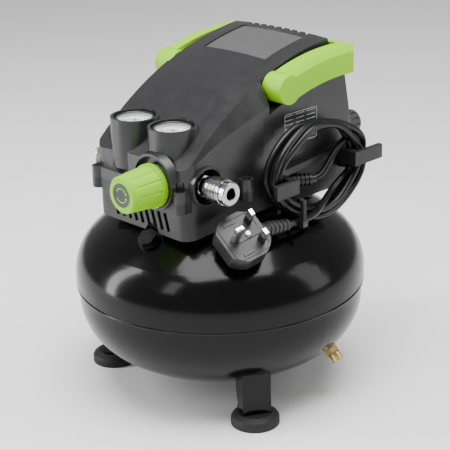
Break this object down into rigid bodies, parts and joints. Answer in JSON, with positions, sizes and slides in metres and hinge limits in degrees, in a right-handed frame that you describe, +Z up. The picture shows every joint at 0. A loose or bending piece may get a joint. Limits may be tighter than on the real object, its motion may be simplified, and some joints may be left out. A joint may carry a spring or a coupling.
{
  "type": "portable air compressor",
  "caption": "Small oil-free air compressor: round dished tank on rubber feet, plastic cover with folding handle, gauges, regulator knob, quick coupler and mains lead on hooks.",
  "frame": {"origin": "on the floor under the round tank's axis, at the level of the bottoms of the rubber feet", "axes": "+Z up; -Y is the front with the regulator knob and gauges; +X is the side with the quick coupler and the mains lead"},
  "size_m": [0.29, 0.29, 0.3447],
  "materials": {
    "tank_paint": "gloss",
    "foot_rubber": "matte",
    "zinc_plate": "bright",
    "plain_brass": "satin",
    "pin_brass": "bright",
    "motor_steel": "satin",
    "winding_copper": "satin",
    "cast_alloy": "satin",
    "fan_plastic": "matte",
    "switch_red": "satin",
    "knob_lime": "satin",
    "disc_black": "satin",
    "coupler_chrome": "bright",
    "gauge_case_black": "satin",
    "dial_white": "satin",
    "needle_black": "satin",
    "gauge_glass": "clear",
    "housing_black": "matte",
    "cover_grey": "satin",
    "badge_grey": "satin",
    "handle_lime": "satin",
    "lead_pvc": "satin"
  },
  "bodies": {
    "tank": {"tank_upper_shell": "tank_paint", "tank_lower_shell": "tank_paint", "foot_brackets": "tank_paint", "rubber_foot_1": "foot_rubber", "rubber_foot_2": "foot_rubber", "rubber_foot_3": "foot_rubber", "foot_bolts": "zinc_plate", "drain_valve_body": "plain_brass", "drain_valve_seal": "foot_rubber", "tank_port_plug": "zinc_plate", "pump_saddle": "tank_paint", "rubber_mounts": "foot_rubber", "check_valve": "plain_brass", "motor_stator": "motor_steel", "motor_windings": "winding_copper", "motor_end_brackets": "motor_steel", "motor_bearings": "motor_steel", "crankcase": "cast_alloy", "cylinder_barrel": "cast_alloy", "valve_plate": "cast_alloy", "cylinder_head": "cast_alloy", "head_bolts": "zinc_plate", "intake_filter": "fan_plastic", "discharge_tube": "winding_copper", "manifold": "cast_alloy", "pressure_switch": "fan_plastic", "regulator_body": "cast_alloy", "coupler_body": "coupler_chrome", "safety_valve_body": "plain_brass", "tank_gauge_case": "gauge_case_black", "outlet_gauge_case": "gauge_case_black", "gauge_dials": "dial_white", "gauge_lenses": "gauge_glass", "lower_housing": "housing_black", "top_cover": "cover_grey", "badge_panel": "badge_grey", "cover_screws": "zinc_plate", "handle_pivot_pins": "zinc_plate", "cord_hooks": "housing_black", "cord_gland": "lead_pvc", "cord_tail": "lead_pvc", "cord_coil": "lead_pvc", "cord_lead": "lead_pvc", "cable_tie": "lead_pvc", "plug_body": "lead_pvc", "plug_pins": "pin_brass"},
    "handle": {"carry_handle": "handle_lime"},
    "regulator": {"regulator_knob": "knob_lime", "knob_disc": "disc_black"},
    "sleeve": {"coupler_sleeve": "coupler_chrome"},
    "relief_pull": {"safety_valve_pull": "plain_brass"},
    "drain": {"drain_knob": "plain_brass"},
    "switch": {"switch_knob": "switch_red"},
    "tank_needle": {"tank_gauge_needle": "needle_black"},
    "outlet_needle": {"outlet_gauge_needle": "needle_black"},
    "rotor": {"motor_rotor": "motor_steel", "motor_shaft": "motor_steel", "cooling_fan": "fan_plastic", "eccentric_crank": "motor_steel"},
    "piston": {"piston_rod": "cast_alloy"}
  },
  "joints": [
    {"name": "handle_fold", "type": "hinge", "parent": "tank", "child": "handle", "pos_m": [0, 0.0148, 0.311], "axis": [1, 0, 0], "range_deg": [0, 90]},
    {"name": "regulator_turn", "type": "hinge", "parent": "tank", "child": "regulator", "pos_m": [0.0266, -0.12, 0.236], "axis": [0, 1, 0], "range_deg": [0, 720]},
    {"name": "sleeve_slide", "type": "slide", "parent": "tank", "child": "sleeve", "axis": [-1, 0, 0], "range_m": [0, 0.004], "stiffness_N_per_m": 800},
    {"name": "relief_slide", "type": "slide", "parent": "tank", "child": "relief_pull", "axis": [-1, 0, 0], "range_m": [0, 0.003], "stiffness_N_per_m": 1500},
    {"name": "drain_turn", "type": "hinge", "parent": "tank", "child": "drain", "pos_m": [0.1192, 0.03216, 0.0516], "axis": [0.651, 0.1757, -0.7385], "range_deg": [0, 540]},
    {"name": "switch_slide", "type": "slide", "parent": "tank", "child": "switch", "axis": [0, 1, 0], "range_m": [0, 0.004]},
    {"name": "tank_needle_turn", "type": "hinge", "parent": "tank", "child": "tank_needle", "pos_m": [-0.0266, -0.0795, 0.282], "axis": [0, 0, 1], "range_deg": [-270, 0]},
    {"name": "outlet_needle_turn", "type": "hinge", "parent": "tank", "child": "outlet_needle", "pos_m": [0.0266, -0.0795, 0.282], "axis": [0, 0, 1], "range_deg": [-270, 0]},
    {"name": "rotor_spin", "type": "hinge", "parent": "tank", "child": "rotor", "pos_m": [0, 0.022, 0.258], "axis": [1, 0, 0], "continuous": true},
    {"name": "piston_slide", "type": "slide", "parent": "tank", "child": "piston", "axis": [0, 1, 0], "range_m": [-0.0045, 0.0045]}
  ]
}
